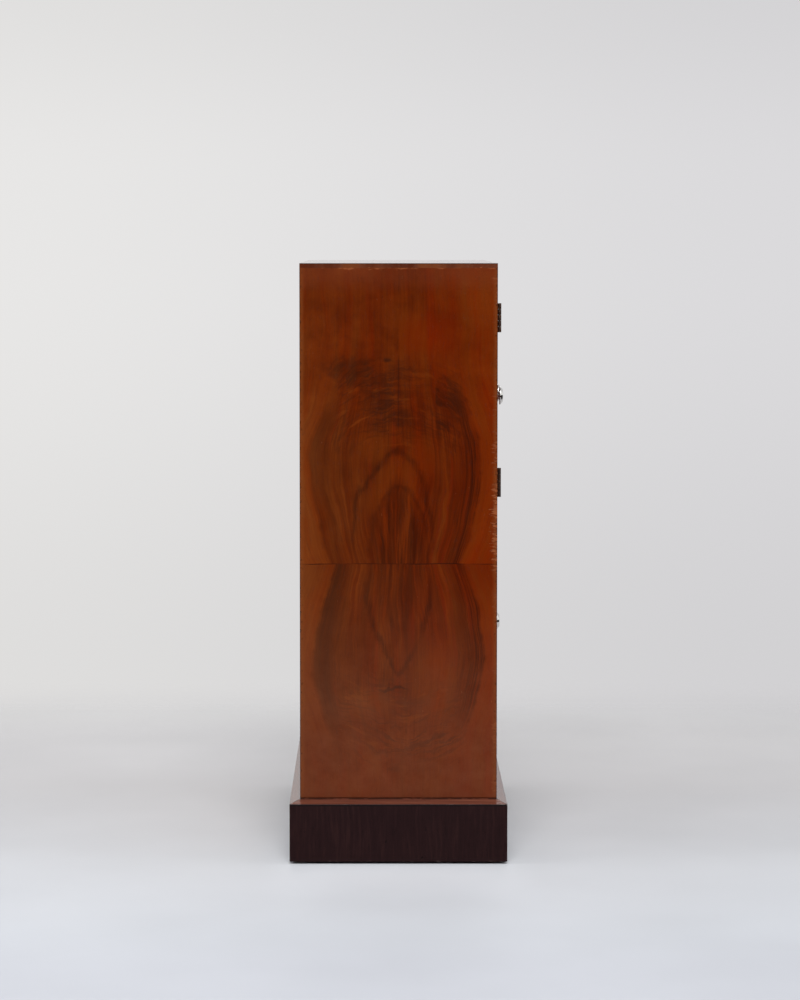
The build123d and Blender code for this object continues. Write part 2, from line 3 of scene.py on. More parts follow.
import bmesh
import bpy
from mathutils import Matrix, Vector


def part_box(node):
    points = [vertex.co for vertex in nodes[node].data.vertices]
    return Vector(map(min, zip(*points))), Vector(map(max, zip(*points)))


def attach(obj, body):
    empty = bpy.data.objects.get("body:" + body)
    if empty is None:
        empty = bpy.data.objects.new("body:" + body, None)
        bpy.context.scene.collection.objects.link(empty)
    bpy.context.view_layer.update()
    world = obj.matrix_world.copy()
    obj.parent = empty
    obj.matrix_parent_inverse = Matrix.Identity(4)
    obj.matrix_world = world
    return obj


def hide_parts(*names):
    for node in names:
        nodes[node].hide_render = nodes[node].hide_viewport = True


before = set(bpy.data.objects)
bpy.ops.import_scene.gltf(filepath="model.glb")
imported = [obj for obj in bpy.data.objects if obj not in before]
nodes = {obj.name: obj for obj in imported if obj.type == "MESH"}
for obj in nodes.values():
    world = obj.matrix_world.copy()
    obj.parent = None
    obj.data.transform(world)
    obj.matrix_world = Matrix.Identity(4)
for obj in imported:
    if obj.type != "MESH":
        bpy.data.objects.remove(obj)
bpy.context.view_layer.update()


# Plinth boards: four boards mitred into a low frame under the case and veneered in dark rosewood,
# with the grain upright. The oil finish has gone dry and dull, and the arrises are rubbed round.
def srgb(red, green, blue):
    """A colour read off a screen, 0 to 255, as the linear values that a shader takes."""
    steps = [c / 255 for c in (red, green, blue)]
    return tuple(c / 12.92 if c <= 0.04045 else ((c + 0.055) / 1.055) ** 2.4 for c in steps)


class Wire:
    """One output in a finish's nodes. Sums on wires add the Math nodes that work them out."""

    def __init__(self, finish, socket):
        self.finish, self.socket = finish, socket

    def sum(self, operation, *terms):
        return self.finish.node("ShaderNodeMath", {"operation": operation}, dict(enumerate(terms)))

    def __add__(self, other):
        return self.sum("ADD", self, other)

    def __sub__(self, other):
        return self.sum("SUBTRACT", self, other)

    def __rsub__(self, other):
        return self.sum("SUBTRACT", other, self)

    def __mul__(self, other):
        return self.sum("MULTIPLY", self, other)

    def __truediv__(self, other):
        return self.sum("DIVIDE", self, other)

    def __pow__(self, other):
        return self.sum("POWER", self, other)

    def __neg__(self):
        return self.sum("MULTIPLY", self, -1)

    def __abs__(self):
        return self.sum("ABSOLUTE", self)

    __radd__, __rmul__ = __add__, __mul__

    def least(self, other):
        return self.sum("MINIMUM", self, other)

    def most(self, other):
        return self.sum("MAXIMUM", self, other)


class Finish:
    """A material, or the world, built up node by node."""

    def __init__(self, name, owner=None):
        self.material = owner or bpy.data.materials.new(name)
        self.material.use_nodes = True
        self.tree = self.material.node_tree
        self.tree.nodes.clear()

    def node(self, kind, settings=None, sockets=None, out=0):
        made = self.tree.nodes.new(kind)
        for key, value in (settings or {}).items():
            if key == "stops":
                ramp = made.color_ramp
                while len(ramp.elements) < len(value):
                    ramp.elements.new(1)
                for element, (place, colour) in zip(ramp.elements, value):
                    element.position, element.color = place, (*colour, 1)
            else:
                setattr(made, key, value)
        for key, value in (sockets or {}).items():
            socket = made.inputs[key]
            if isinstance(value, Wire):
                self.tree.links.new(value.socket, socket)
            elif socket.type == "RGBA":
                socket.default_value = (*value, 1)
            else:
                socket.default_value = value
        return Wire(self, made.outputs[out])

    def place(self):
        """The point's x, y and z on the piece, in metres."""
        where = self.node("ShaderNodeTexCoord", out=3)
        split = self.node("ShaderNodeSeparateXYZ", None, {0: where})
        return [Wire(self, split.socket.node.outputs[i]) for i in range(3)]

    def join(self, x, y, z=0.0):
        return self.node("ShaderNodeCombineXYZ", None, {0: x, 1: y, 2: z})

    def noise(self, vector, scale=1.0, detail=2.0, rough=0.5, twist=0.0):
        sockets = {"Vector": vector, "Scale": scale, "Detail": detail, "Roughness": rough, "Distortion": twist}
        return self.node("ShaderNodeTexNoise", None, sockets)

    def rise(self, value, low, high):
        """0 below low, 1 above high, and a soft slope between."""
        settings = {"interpolation_type": "SMOOTHSTEP"}
        return self.node("ShaderNodeMapRange", settings, {"Value": value, "From Min": low, "From Max": high})

    def line(self, value, middle, core, soft):
        """1 within core of the middle, 0 beyond soft."""
        return 1 - self.rise(abs(value - middle), core, soft)

    def ramp(self, factor, stops):
        return self.node("ShaderNodeValToRGB", {"stops": stops}, {0: factor})

    def mix(self, factor, a, b, blend="MIX"):
        settings = {"data_type": "RGBA", "blend_type": blend}
        return self.node("ShaderNodeMix", settings, {0: factor, 6: a, 7: b}, out=2)

    def shade(self, colour, grey):
        """The colour times a grey value."""
        grey = self.node("ShaderNodeCombineColor", None, {0: grey, 1: grey, 2: grey})
        return self.mix(1.0, colour, grey, "MULTIPLY")

    def close(self, colour, rough, height=None, depth=0.0002, **constants):
        """Ends the finish in one surface shader. height is a bump of that depth, in metres."""
        sockets = {"Base Color": colour, "Roughness": rough}
        if height is not None:
            bump = {"Strength": 1.0, "Distance": depth, "Height": height}
            sockets["Normal"] = self.node("ShaderNodeBump", None, bump)
        sockets.update({key.replace("_", " "): value for key, value in constants.items()})
        self.show(self.node("ShaderNodeBsdfPrincipled", None, sockets))
        return self.material

    def show(self, surface):
        made = self.tree.nodes.new("ShaderNodeOutputMaterial")
        self.tree.links.new(surface.socket, made.inputs["Surface"])


def dress(node, material, ease=0.0, segments=2):
    """Gives a CAD node its finish, and eases its arrises by that many metres."""
    piece = nodes[node]
    piece.data.materials.clear()
    piece.data.materials.append(material)
    if ease:
        piece.modifiers.new("one skin", "WELD").merge_threshold = 1e-6
        flat = piece.modifiers.new("whole faces", "DECIMATE")
        flat.decimate_type, flat.angle_limit = "DISSOLVE", math.radians(0.5)
        round_over = piece.modifiers.new("eased arris", "BEVEL")
        round_over.width, round_over.segments = ease, segments
        round_over.limit_method, round_over.angle_limit = "ANGLE", math.radians(40)
        round_over.use_clamp_overlap = True


plinth_low, plinth_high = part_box("plinth_left")
f = Finish("dry rosewood")
x, y, z = f.place()
run = x + y
wander = f.noise(f.join(run * 9, z * 5), detail=2)
streak = f.noise(f.join(run * 200 + wander * 4, z * 12), detail=3, rough=0.6)
hair = f.noise(f.join(run * 900, z * 34, 4), detail=2)
pores = f.rise(f.noise(f.join(run * 1500, z * 45, 7), detail=1), 0.62, 0.72)
colour = f.ramp(streak * 0.7 + wander * 0.3, [
    (0.30, srgb(29, 14, 15)), (0.52, srgb(35, 18, 19)), (0.70, srgb(46, 26, 25))])
colour = f.shade(colour, 0.87 + hair * 0.26)
colour = f.mix(pores * 0.5, colour, srgb(14, 6, 7))
pits = f.rise(f.noise(f.join(run * 60, z * 60, 2), detail=3), 0.70, 0.76)
colour = f.mix(pits * 0.8, colour, srgb(10, 5, 6))
foot = z - plinth_low.z
scuff = f.noise(f.join(run * 130, z * 260, 6), detail=3)
rub = f.rise(scuff - foot * 60, 0.5, 0.62)
colour = f.mix(rub * 0.4, colour, srgb(104, 88, 82))
crown = f.line(z, plinth_high.z, 0.0012, 0.0030)
colour = f.mix(crown * 0.8, colour, srgb(14, 6, 7))
height = streak * 0.4 - pores * 0.5 - pits * 2
rosewood = f.close(colour, 0.52 + streak * 0.2, height, depth=0.0003, Specular_IOR_Level=0.06)
for side in ("front", "back", "left", "right"):
    dress(f"plinth_{side}", rosewood, ease=0.0012, segments=3)


# Corner blocks and glides: beech blocks glued into the corners of the plinth, each with a pressed
# steel glide nailed under it, so the plinth stands a few millimetres clear of the floor.
def beech(name, grain):
    """Steamed beech with its small flecks. grain names the axis that the board runs along."""
    f = Finish(name)
    axes = f.place()
    long = axes.pop("xyz".index(grain))
    a, b = axes
    wander = f.noise(f.join(a * 12, b * 12, long * 3), detail=2)
    band = f.noise(f.join(a * 120 + wander * 4, b * 120, long * 4), detail=3, rough=0.55)
    fleck = f.rise(f.noise(f.join(a * 900, b * 900, long * 170), detail=1), 0.64, 0.72)
    colour = f.ramp(band, [(0.3, srgb(166, 116, 76)), (0.55, srgb(190, 141, 98)), (0.75, srgb(204, 160, 118))])
    colour = f.mix(fleck * 0.45, colour, srgb(128, 82, 50))
    dirt = f.rise(f.noise(f.join(a * 14, b * 14, long * 9), detail=3), 0.52, 0.75)
    colour = f.mix(dirt * 0.25, colour, srgb(120, 84, 58))
    return f.close(colour, 0.5 + band * 0.15, band * 0.5 - fleck, depth=0.00015, Specular_IOR_Level=0.35)


beech_upright = beech("beech upright", "z")
beech_wide = beech("beech along the width", "x")
beech_deep = beech("beech along the depth", "y")
dress("corner_blocks", beech_upright, ease=0.0008)


def bare_steel(name, tone, rough):
    """Mill-finish steel: drawing lines, a faint bloom of rust in the low places."""
    f = Finish(name)
    x, y, z = f.place()
    draw = f.noise(f.join(x * 900, y * 900, z * 900), detail=2)
    bloom = f.rise(f.noise(f.join(x * 160, y * 160, z * 160), detail=3), 0.55, 0.75)
    colour = f.mix(bloom * 0.5, tone, srgb(92, 62, 44))
    return f.close(f.shade(colour, 0.85 + draw * 0.3), rough + bloom * 0.25, draw, depth=0.00004, Metallic=0.9)


steel = bare_steel("screw steel", srgb(152, 150, 146), 0.34)
dress("glides", steel, ease=0.0006)


# Plinth cap: four walnut strips, bevelled to shed dust and mitred at the corners, glued on the plinth
# boards. The case stands on them. Polish has built up on the slope.
case_low, case_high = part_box("left_side")
half_width = -case_low.x
half_depth, mid_depth = (case_high.y - case_low.y) / 2, (case_high.y + case_low.y) / 2
cap_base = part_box("cap_left")[0].z
f = Finish("cap walnut")
x, y, z = f.place()
over_x, over_y = abs(x) - half_width, abs(y - mid_depth) - half_depth
on_side = f.rise(over_x - over_y, -0.0001, 0.0001)
long = y * on_side + x * (1 - on_side)
wide = x * on_side + y * (1 - on_side)
wander = f.noise(f.join(long * 5, wide * 30, z * 20), detail=2)
band = f.noise(f.join(long * 7, wide * 260 + wander * 5, z * 260), detail=3, rough=0.6)
hair = f.noise(f.join(long * 40, wide * 1100, z * 1100), detail=2)
colour = f.ramp(band, [(0.3, srgb(78, 38, 26)), (0.52, srgb(95, 50, 36)), (0.74, srgb(112, 64, 46))])
colour = f.shade(colour, 0.8 + hair * 0.4)
mitre = f.line(over_x - over_y, 0, 0.0003, 0.0009)
colour = f.mix(mitre * 0.8, colour, srgb(30, 12, 9))
# Painted shade: a dark strip on the cap just outside the case, where the case stands on it, broken up by noise.
inner = f.line(over_x.most(over_y), 0.0004, 0.0010, 0.0030)
crease_shade_noise = f.noise(f.join(long * 60, wide * 60, z * 60), detail=3)
colour = f.mix(inner * f.rise(crease_shade_noise, 0.3, 0.6) * 0.85, colour, srgb(22, 9, 7))
glue = 1 - f.rise(z, cap_base + 0.0010, cap_base + 0.0013)
colour = f.mix(glue, colour, srgb(26, 12, 12))
cap_walnut = f.close(colour, 0.11 + band * 0.12, band + hair * 0.4 - mitre * 2, depth=0.0002)
for side in ("front", "back", "left", "right"):
    dress(f"cap_{side}", cap_walnut, ease=0.0004)


# Screws up through the cap into the case, and every other slotted wood screw. A screw is turned from
# steel wire: a countersunk head with a sawn slot, a plain shank, and its slot stops at any angle.
def slotted_screw_tree():
    tree = bpy.data.node_groups.new("slotted screws", "GeometryNodeTree")
    face = tree.interface

    def port(name, kind, way="INPUT", value=None):
        made = face.new_socket(name=name, in_out=way, socket_type=f"NodeSocket{kind}")
        if value is not None:
            made.default_value = value

    port("Places", "Geometry")
    for name, value in (("Head radius", 0.0035), ("Head depth", 0.002), ("Slot width", 0.0007),
                        ("Slot depth", 0.0006), ("Shank radius", 0.0017), ("Shank length", 0.02)):
        port(name, "Float", value=value)
    port("Seed", "Int", value=3)
    port("Finish", "Material")
    port("Screws", "Geometry", "OUTPUT")

    def add(kind, settings=None, sockets=None):
        made = tree.nodes.new(kind)
        for key, value in (settings or {}).items():
            setattr(made, key, value)
        for key, value in (sockets or {}).items():
            if isinstance(value, bpy.types.NodeSocket):
                tree.links.new(value, made.inputs[key])
            else:
                made.inputs[key].default_value = value
        return made

    def sum_of(operation, a, b):
        return add("ShaderNodeMath", {"operation": operation}, {0: a, 1: b}).outputs[0]

    def lift(mesh, height):
        up = add("ShaderNodeCombineXYZ", None, {2: height}).outputs[0]
        return add("GeometryNodeTransform", None, {"Geometry": mesh, "Translation": up}).outputs[0]

    def turned(count, top, bottom, depth):
        sizes = {"Vertices": count, "Radius Top": top, "Radius Bottom": bottom, "Depth": depth}
        return add("GeometryNodeMeshCone", None, sizes).outputs["Mesh"]

    given = add("NodeGroupInput").outputs
    head, head_depth = given["Head radius"], given["Head depth"]
    shank, length = given["Shank radius"], given["Shank length"]
    rim = sum_of("MULTIPLY", head_depth, 0.12)
    cone = turned(24, head, shank, sum_of("SUBTRACT", head_depth, rim))
    disc = turned(24, sum_of("MULTIPLY", head, 0.93), head, rim)
    point = turned(12, shank, sum_of("MULTIPLY", shank, 0.45), length)
    low_cone = lift(cone, sum_of("MULTIPLY", head_depth, -1))
    low_disc = lift(disc, sum_of("MULTIPLY", rim, -1))
    low_shank = lift(point, sum_of("SUBTRACT", sum_of("MULTIPLY", head_depth, -0.98), length))
    solid = add("GeometryNodeJoinGeometry")
    for part in (low_cone, low_disc, low_shank):
        tree.links.new(part, solid.inputs[0])
    saw_length, saw_height = sum_of("MULTIPLY", head, 2.2), sum_of("MULTIPLY", given["Slot depth"], 2)
    saw_size = add("ShaderNodeCombineXYZ", None, {0: saw_length, 1: given["Slot width"], 2: saw_height})
    saw = add("GeometryNodeMeshCube", None, {"Size": saw_size.outputs[0]})
    cut = add("GeometryNodeMeshBoolean", {"operation": "DIFFERENCE", "solver": "EXACT"},
              {"Mesh 1": solid.outputs[0], "Mesh 2": saw.outputs["Mesh"], "Self Intersection": True})
    way_out = add("GeometryNodeInputNamedAttribute", {"data_type": "FLOAT_VECTOR"}, {"Name": "way_out"})
    turn = add("FunctionNodeAlignRotationToVector", {"axis": "Z"}, {"Vector": way_out.outputs[0]})
    spin = add("FunctionNodeRandomValue", {"data_type": "FLOAT"}, {2: 0.0, 3: math.pi, "Seed": given["Seed"]})
    angle = add("FunctionNodeAxisAngleToRotation", None, {"Axis": (0, 0, 1), "Angle": spin.outputs[1]})
    both = add("FunctionNodeRotateRotation", {"rotation_space": "LOCAL"},
               {"Rotation": turn.outputs[0], "Rotate By": angle.outputs[0]})
    spread = add("GeometryNodeInstanceOnPoints", None,
                 {"Points": given["Places"], "Instance": cut.outputs["Mesh"], "Rotation": both.outputs[0]})
    real = add("GeometryNodeRealizeInstances", None, {"Geometry": spread.outputs[0]})
    coat = add("GeometryNodeSetMaterial", None, {"Geometry": real.outputs[0], "Material": given["Finish"]})
    tree.links.new(coat.outputs[0], add("NodeGroupOutput").inputs[0])
    return tree


screw_tree = slotted_screw_tree()


def screws(node, body, way_out, material, head=0.0035, shank=0.00175):
    """Puts detailed screws where the CAD node has its plain ones. way_out gives the way a head faces."""
    plain = bmesh.new()
    plain.from_mesh(nodes[node].data)
    bmesh.ops.remove_doubles(plain, verts=plain.verts, dist=1e-6)
    left, spots = set(plain.verts), []
    while left:
        island, edge = set(), [left.pop()]
        while edge:
            vert = edge.pop()
            island.add(vert)
            for link in vert.link_edges:
                other = link.other_vert(vert)
                if other in left:
                    left.discard(other)
                    edge.append(other)
        low = Vector([min(v.co[i] for v in island) for i in range(3)])
        high = Vector([max(v.co[i] for v in island) for i in range(3)])
        middle, length = (low + high) / 2, max(high - low)
        out = way_out(middle)
        spots.append((middle + out * length / 2, out, length))
    plain.free()
    spots.sort(key=lambda spot: [round(c, 4) for c in spot[0]])
    places = bpy.data.meshes.new("screw places")
    places.from_pydata([spot for spot, _, _ in spots], [], [])
    facing = places.attributes.new("way_out", "FLOAT_VECTOR", "POINT")
    for i, (_, out, _) in enumerate(spots):
        facing.data[i].vector = out
    holder = bpy.data.objects.new("screw places", places)
    bpy.context.scene.collection.objects.link(holder)
    layout = holder.modifiers.new("screws", "NODES")
    layout.node_group = screw_tree
    depth = head - shank
    shank_length = spots[0][2] - depth
    sizes = {"Head radius": head, "Head depth": depth, "Shank radius": shank, "Shank length": shank_length,
             "Slot width": head * 0.21, "Slot depth": head * 0.2, "Seed": len(spots), "Finish": material}
    for item in screw_tree.interface.items_tree:
        if item.in_out == "INPUT" and item.name in sizes:
            layout[item.identifier] = sizes[item.name]
    bpy.context.view_layer.update()
    ready = holder.evaluated_get(bpy.context.evaluated_depsgraph_get())
    mesh = bpy.data.meshes.new_from_object(ready)
    mesh.name = f"{node}_slotted"
    holder.modifiers.clear()
    bpy.data.objects.remove(holder)
    piece = bpy.data.objects.new(f"{node}_slotted", mesh)
    bpy.context.scene.collection.objects.link(piece)
    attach(piece, body)
    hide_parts(node)


screws("plinth_screws", "cabinet", lambda middle: Vector((0, 0, -1)), steel)


# Sides: blockboard, veneered with crotch walnut and lipped at the edges. Upright fibres bow out with a dark
# heart, and the leaves meet at a level seam, with an arch standing over it and a point hanging under it.
# The old polish is dull, dusty towards the foot, and chipped along the front edge.
def crotch_walnut(name, turn, middle, seam, spread=1.0, polish=0.24, side=False, lap=False, inner=None):
    """Matched crotch veneer about a middle line and a seam. turn gives the ways across and along the leaf.
    side adds a case side's wear and its painted shade at the arrises and the foot, lap the wear of the top's
    ends, and a plain lining begins at y = inner."""
    f = Finish(name)
    x, y, z = f.place()
    across, along = turn(x, y, z)
    across = (across - middle) / spread
    right = -across
    along = along - seam
    upper = f.rise(along, -0.0005, 0.0005)
    lower = 1 - upper

    # Unevenness, from broad to fine, and a point's distance out from the middle line and off the seam.
    drift = f.noise(f.join(across * 5, along * 3.5, 1.7), detail=2) - 0.5
    sway = f.noise(f.join(across * 20, along * 8, 0.9), detail=3) - 0.5
    flat = f.join(across, along)
    broad = f.noise(flat, 11, detail=4, rough=0.6)
    cloud = f.noise(flat, 34, detail=3, rough=0.6)
    patchy, uneven = broad - 0.5, cloud - 0.5
    offset = across + drift * 0.018 + sway * 0.006 + upper * 0.003

    def out_from(line):
        return (line * line + upper * 0.0001 + 0.00002) ** 0.5

    u = out_from(offset)
    w = abs(along + drift * 0.02)

    # The fibres run upright and bow out with the dark heart of the leaf; sapwood lies outside it.
    heart_height, heart_width = 0.36, 0.110
    arc = w.least(heart_height) * (math.pi / heart_height)
    belly = arc.sum("SINE", arc) * (1 - f.rise(w, 0.17, heart_height) * 0.92)
    ragged = f.noise(f.join(across * 5, along * 8, 6.6), detail=2, rough=0.5) - 0.5
    heart = belly * (0.033 + upper * 0.004) + heart_width + ragged * 0.026
    fibre = (offset - upper * 0.010) / heart
    streak = f.noise(f.join(fibre * 24, w * 4.5, upper * 0.4), detail=4, rough=0.6, twist=0.3)
    feather = f.noise(f.join(fibre * 64, w * 11, upper * 0.4 + 2), detail=3, rough=0.65)
    hair = f.noise(f.join(fibre * 200, along * 40, 4.4), detail=2)
    reach = abs(fibre) + (feather - 0.5) * 0.10 + uneven * 0.08
    near = 1 - f.rise(w, 0.22, 0.33)
    inside = (1 - f.rise(reach, 0.92, 1.02)) * near
    sap = f.rise(reach, 0.985, 1.05)
    tone = (streak * 0.42 + feather * 0.18 - 0.30) * (0.4 + inside * 0.75) + 0.5
    colour = f.ramp(tone + patchy * 0.40 + uneven * 0.20, [
        (0.34, srgb(70, 20, 2)), (0.46, srgb(90, 29, 2)), (0.55, srgb(104, 36, 3)), (0.68, srgb(122, 48, 7))])
    sapwood = f.ramp(streak, [(0.3, srgb(104, 37, 5)), (0.7, srgb(120, 48, 9))])
    colour = f.mix(sap * near * 0.6, colour, sapwood)
    colour = f.mix(f.rise(right, 0.02, 0.14) * 0.30, colour, srgb(124, 44, 2))
    colour = f.mix(inside * (0.10 + broad * 0.25), colour, srgb(70, 25, 6))

    # A dark band follows the outline of the heart, and threads and stripes run inside it.
    darker = (0.62 + f.rise(right, -0.05, 0.05) * 0.48).most(0.95 - upper)
    band = f.rise(reach, 0.64, 0.97) * (1 - sap) * near * darker
    band = band * (0.15 + 0.85 * f.rise(streak + feather, 0.84, 1.14))
    colour = f.mix(band * (0.95 if side else 0.5), colour, srgb(58, 18, 4))
    shoulder = lower * (1 - f.rise(w, 0.01, 0.08)) * sap
    colour = f.mix(shoulder * 0.4, colour, srgb(84, 30, 6))
    low_left = f.line(reach, 0.89, 0.03, 0.14) * lower * f.rise(across, 0.02, 0.08) * near
    low_left = low_left * (0.72 + 0.28 * f.rise(streak, 0.4, 0.6))
    colour = f.mix(low_left * (1.0 if side else 0.5), colour, srgb(54, 18, 5))
    thread = f.noise(f.join(fibre * 11, w * 5, upper + 5), detail=3, rough=0.5)
    thread = (1 - f.rise(abs(thread - 0.5), 0.0, 0.03)) * f.rise(broad, 0.4, 0.6)
    colour = f.mix(thread * inside * 0.5, colour, srgb(62, 20, 5))
    stripe = f.noise(f.join(fibre * 10 + sway * 2, w * 3.5, upper * 2 + 8), detail=3, rough=0.55)
    stripe = f.ramp(stripe, [(0.36, srgb(72, 25, 5)), (0.50, srgb(96, 35, 6)), (0.62, srgb(122, 52, 12))])
    midst = inside * (1 - f.rise(w, 0.10, 0.22)) * (1 - f.rise(abs(fibre), 0.55, 0.90) * 0.6)
    colour = f.mix(midst * 0.5, colour, stripe)
    ruddy = f.rise(f.noise(f.join(fibre * 15, w * 4, 9.3), detail=2), 0.58, 0.72)
    colour = f.mix(ruddy * inside * 0.35, colour, srgb(108, 29, 5))

    # The crotch stands about the seam: a tall arch above, a point below, dark flames in the middle.
    def drawn(out):
        """How far the fibres are drawn up along the middle line, at that distance out from it."""
        close = out * out * -150
        return close.sum("EXPONENT", close) * w.least(0.26) ** 2

    def stain(out, up, wide, tall):
        """A ragged spot, by its place on the leaf and its size."""
        du, dw = (across - out) / wide, (along - up) / tall
        return 1 - f.rise((du * du + dw * dw) ** 0.5 + uneven * 1.4 + patchy * 0.8, 0.25, 1.15)

    arch_out = out_from(offset - upper * (1 - f.rise(w, 0.11, 0.21)) * 0.011)
    arch_pull, pull = drawn(arch_out), drawn(u)
    gold = (1 - f.rise(arch_out + arch_pull * 1.5, 0.050, 0.066)) * upper * f.rise(w, 0.06, 0.12)
    colour = f.mix(gold * 0.40, colour, srgb(114, 46, 5))
    plume = f.noise(f.join(fibre * 13 + sway * 2, w * 7, upper * 3), detail=4, rough=0.6, twist=0.4)
    flames = f.ramp(plume, [(0.36, srgb(104, 38, 6)), (0.46, srgb(84, 29, 5)), (0.60, srgb(58, 20, 5))])
    core = 1 - f.rise(u + pull * (2.1 - upper * 0.5) + (feather - 0.5) * 0.016, 0.032, 0.052)
    colour = f.mix(core * (0.62 + upper * 0.26), colour, flames)
    halo = stain(0.044, 0.205, 0.034, 0.034).most(stain(-0.038, 0.186, 0.034, 0.050))
    colour = f.mix(halo * 0.4, colour, srgb(116, 47, 6))
    wave = sway * 0.026 + uneven * 0.014 + (feather - 0.5) * 0.008
    arch = f.line(arch_out + arch_pull * 1.4 + wave - upper * 0.011, 0.057, 0.0002, 0.0070)
    arch = arch * f.rise(w, 0.0, 0.07) * (1 - upper * f.rise(right, 0.0, 0.03) * 0.15)
    inner_arch = f.line(u + pull * 2.1 + wave, 0.049, 0.0002, 0.0060) * upper * 0.65
    broken = f.rise(f.noise(f.join(across * 20, along * 13, 4.6), detail=3), 0.18, 0.44)
    broken = broken * (0.35 + 0.65 * f.rise(feather, 0.36, 0.58))
    colour = f.mix(arch.most(inner_arch) * broken * 0.7, colour, srgb(48, 16, 5))

    # Curl across the grain over and under the crotch, with painted highlights along it, and the dark stains of
    # the crown.
    bow = along.sum("SIGN", along) * (w + u * u * 3.2)
    curl = f.noise(f.join(across * 20, bow * 150 + broad * 9, 3.3), detail=3, rough=0.6, twist=0.4)
    zone = f.rise(w, 0.17, 0.24) * (1 - f.rise(w, 0.30, 0.37)) * (1 - f.rise(u, 0.08, 0.13))
    zone = zone * (1 - upper * f.rise(right, -0.03, 0.03) * 0.3)
    curled = f.rise(curl, 0.46, 0.62) * (0.2 + 0.45 * f.rise(broad, 0.36, 0.6)) * (1.5 - upper * 0.5)
    colour = f.mix(zone * curled, colour, srgb(62, 21, 5))
    # Painted highlight: pale glints of light along the curl.
    glint = f.noise(f.join(across * 22, bow * 80, 8.1), detail=3, twist=0.5)
    colour = f.mix(zone * f.rise(glint, 0.58, 0.70) * 0.4, colour, srgb(126, 56, 14))
    glow = stain(-0.034, 0.392, 0.062, 0.046) * f.rise(right, -0.001, 0.001)
    colour = f.mix(glow * 0.5, colour, srgb(120, 38, 1))
    colour = f.mix(stain(-0.148, 0.462, 0.050, 0.075) * 0.35, colour, srgb(130, 62, 18))
    crown = stain(0.074, 0.326, 0.062, 0.036).most(stain(0.024, 0.270, 0.040, 0.050) * 0.85)
    crown = crown.most(stain(-0.080, 0.272, 0.038, 0.058) * f.rise(right, 0.0625, 0.0645) * 0.9)
    crown = crown.most(stain(-0.002, 0.328, 0.032, 0.036) * 0.5)
    crown = crown.most(stain(0.020, 0.351, 0.010, 0.006)).most(stain(0.005, -0.355, 0.016, 0.008) * 0.6)
    colour = f.mix(crown * (0.4 + 0.45 * f.rise(curl, 0.36, 0.60)), colour, srgb(54, 20, 7))
    pale = stain(-0.064, -0.205, 0.045, 0.085).most(stain(0.055, -0.240, 0.050, 0.030))
    colour = f.mix(pale * 0.3, colour, srgb(136, 66, 26))
    squiggle = f.line(along + 0.218 + uneven * 0.03, 0.0, 0.0010, 0.0042)
    squiggle = squiggle * (1 - f.rise(abs(across - 0.009), 0.014, 0.030))
    colour = f.mix(squiggle * 0.95, colour, srgb(46, 17, 7))
    colour = f.mix(f.rise(across, -0.06, 0.16) * 0.10, colour, srgb(126, 64, 26))
    colour = f.mix(f.rise(across, 0.125, 0.160) * near * 0.22, colour, srgb(132, 66, 25))

    # The polish has gone redder in some streaks and greyer in others; pores and glue lines show as dark hairs.
    hue = f.noise(f.join(fibre * 5 + sway, w * 4, upper * 2 + 3), detail=3, rough=0.5)
    hue = hue * 1.4 - 0.2 + across * (0.4 + near * 0.8) + patchy * 0.5
    tinge = f.ramp(hue, [(0.22, (1.06, 0.78, 0.35)), (0.5, (1, 1, 1)), (0.78, (1.0, 1.22, 1.5))])
    colour = f.shade(f.mix(1.0, colour, tinge, "MULTIPLY"), 0.87 + hair * 0.26)
    pores = f.rise(f.noise(f.join(fibre * 330, along * 60, 6.2), detail=1), 0.66, 0.74)
    colour = f.mix(pores * 0.3, colour, srgb(50, 17, 6))
    waver = (f.noise(f.join(across * 9, 3.5), detail=2) - 0.5) * 0.006
    seam_line = f.line(along + waver, 0.0, 0.0003, 0.0012)
    seam_line = seam_line * f.rise(f.noise(f.join(across * 24, 0.5), detail=2), 0.32, 0.60)
    middle_line = f.line(across + drift * 0.004, 0.0, 0.0002, 0.0022) * f.rise(along, -0.24, -0.06)
    middle_line = middle_line * f.rise(f.noise(f.join(along * 7, 1.5), detail=2), 0.48, 0.6)
    colour = f.mix((seam_line * 0.85).most(middle_line * 0.4), colour, srgb(36, 13, 7))
    height = streak * 0.4 + hair * 0.25 - pores * 0.8
    rough = polish + broad * (0.05 if lap else 0.12)

    if side:
        # Wear by the distance to the edges, to the foot and to the top, and painted shade along the arrises and
        # the foot.
        depth = (half_width - abs(x)).most(0)
        front, rear = ((gap * gap + depth * depth) ** 0.5 for gap in (y - case_low.y, case_high.y - y))
        edge = front.least(rear)
        foot, head = z - case_low.z, case_high.z - z
        rubbed = (1 - f.rise(edge + uneven * 0.006, 0.002, 0.010)) * (0.3 + broad * 0.6)
        colour = f.mix(rubbed, colour, srgb(128, 68, 31))
        dust = 1 - f.rise(z + drift * 0.25, 0.18, 0.54)
        colour = f.mix(dust * (0.22 + cloud * 0.56), colour, srgb(109, 62, 41))
        bloom = (1 - f.rise(head + uneven * 0.03, 0.006, 0.050)) * (0.15 + broad * 0.5)
        colour = f.mix(bloom, colour, srgb(116, 54, 30))
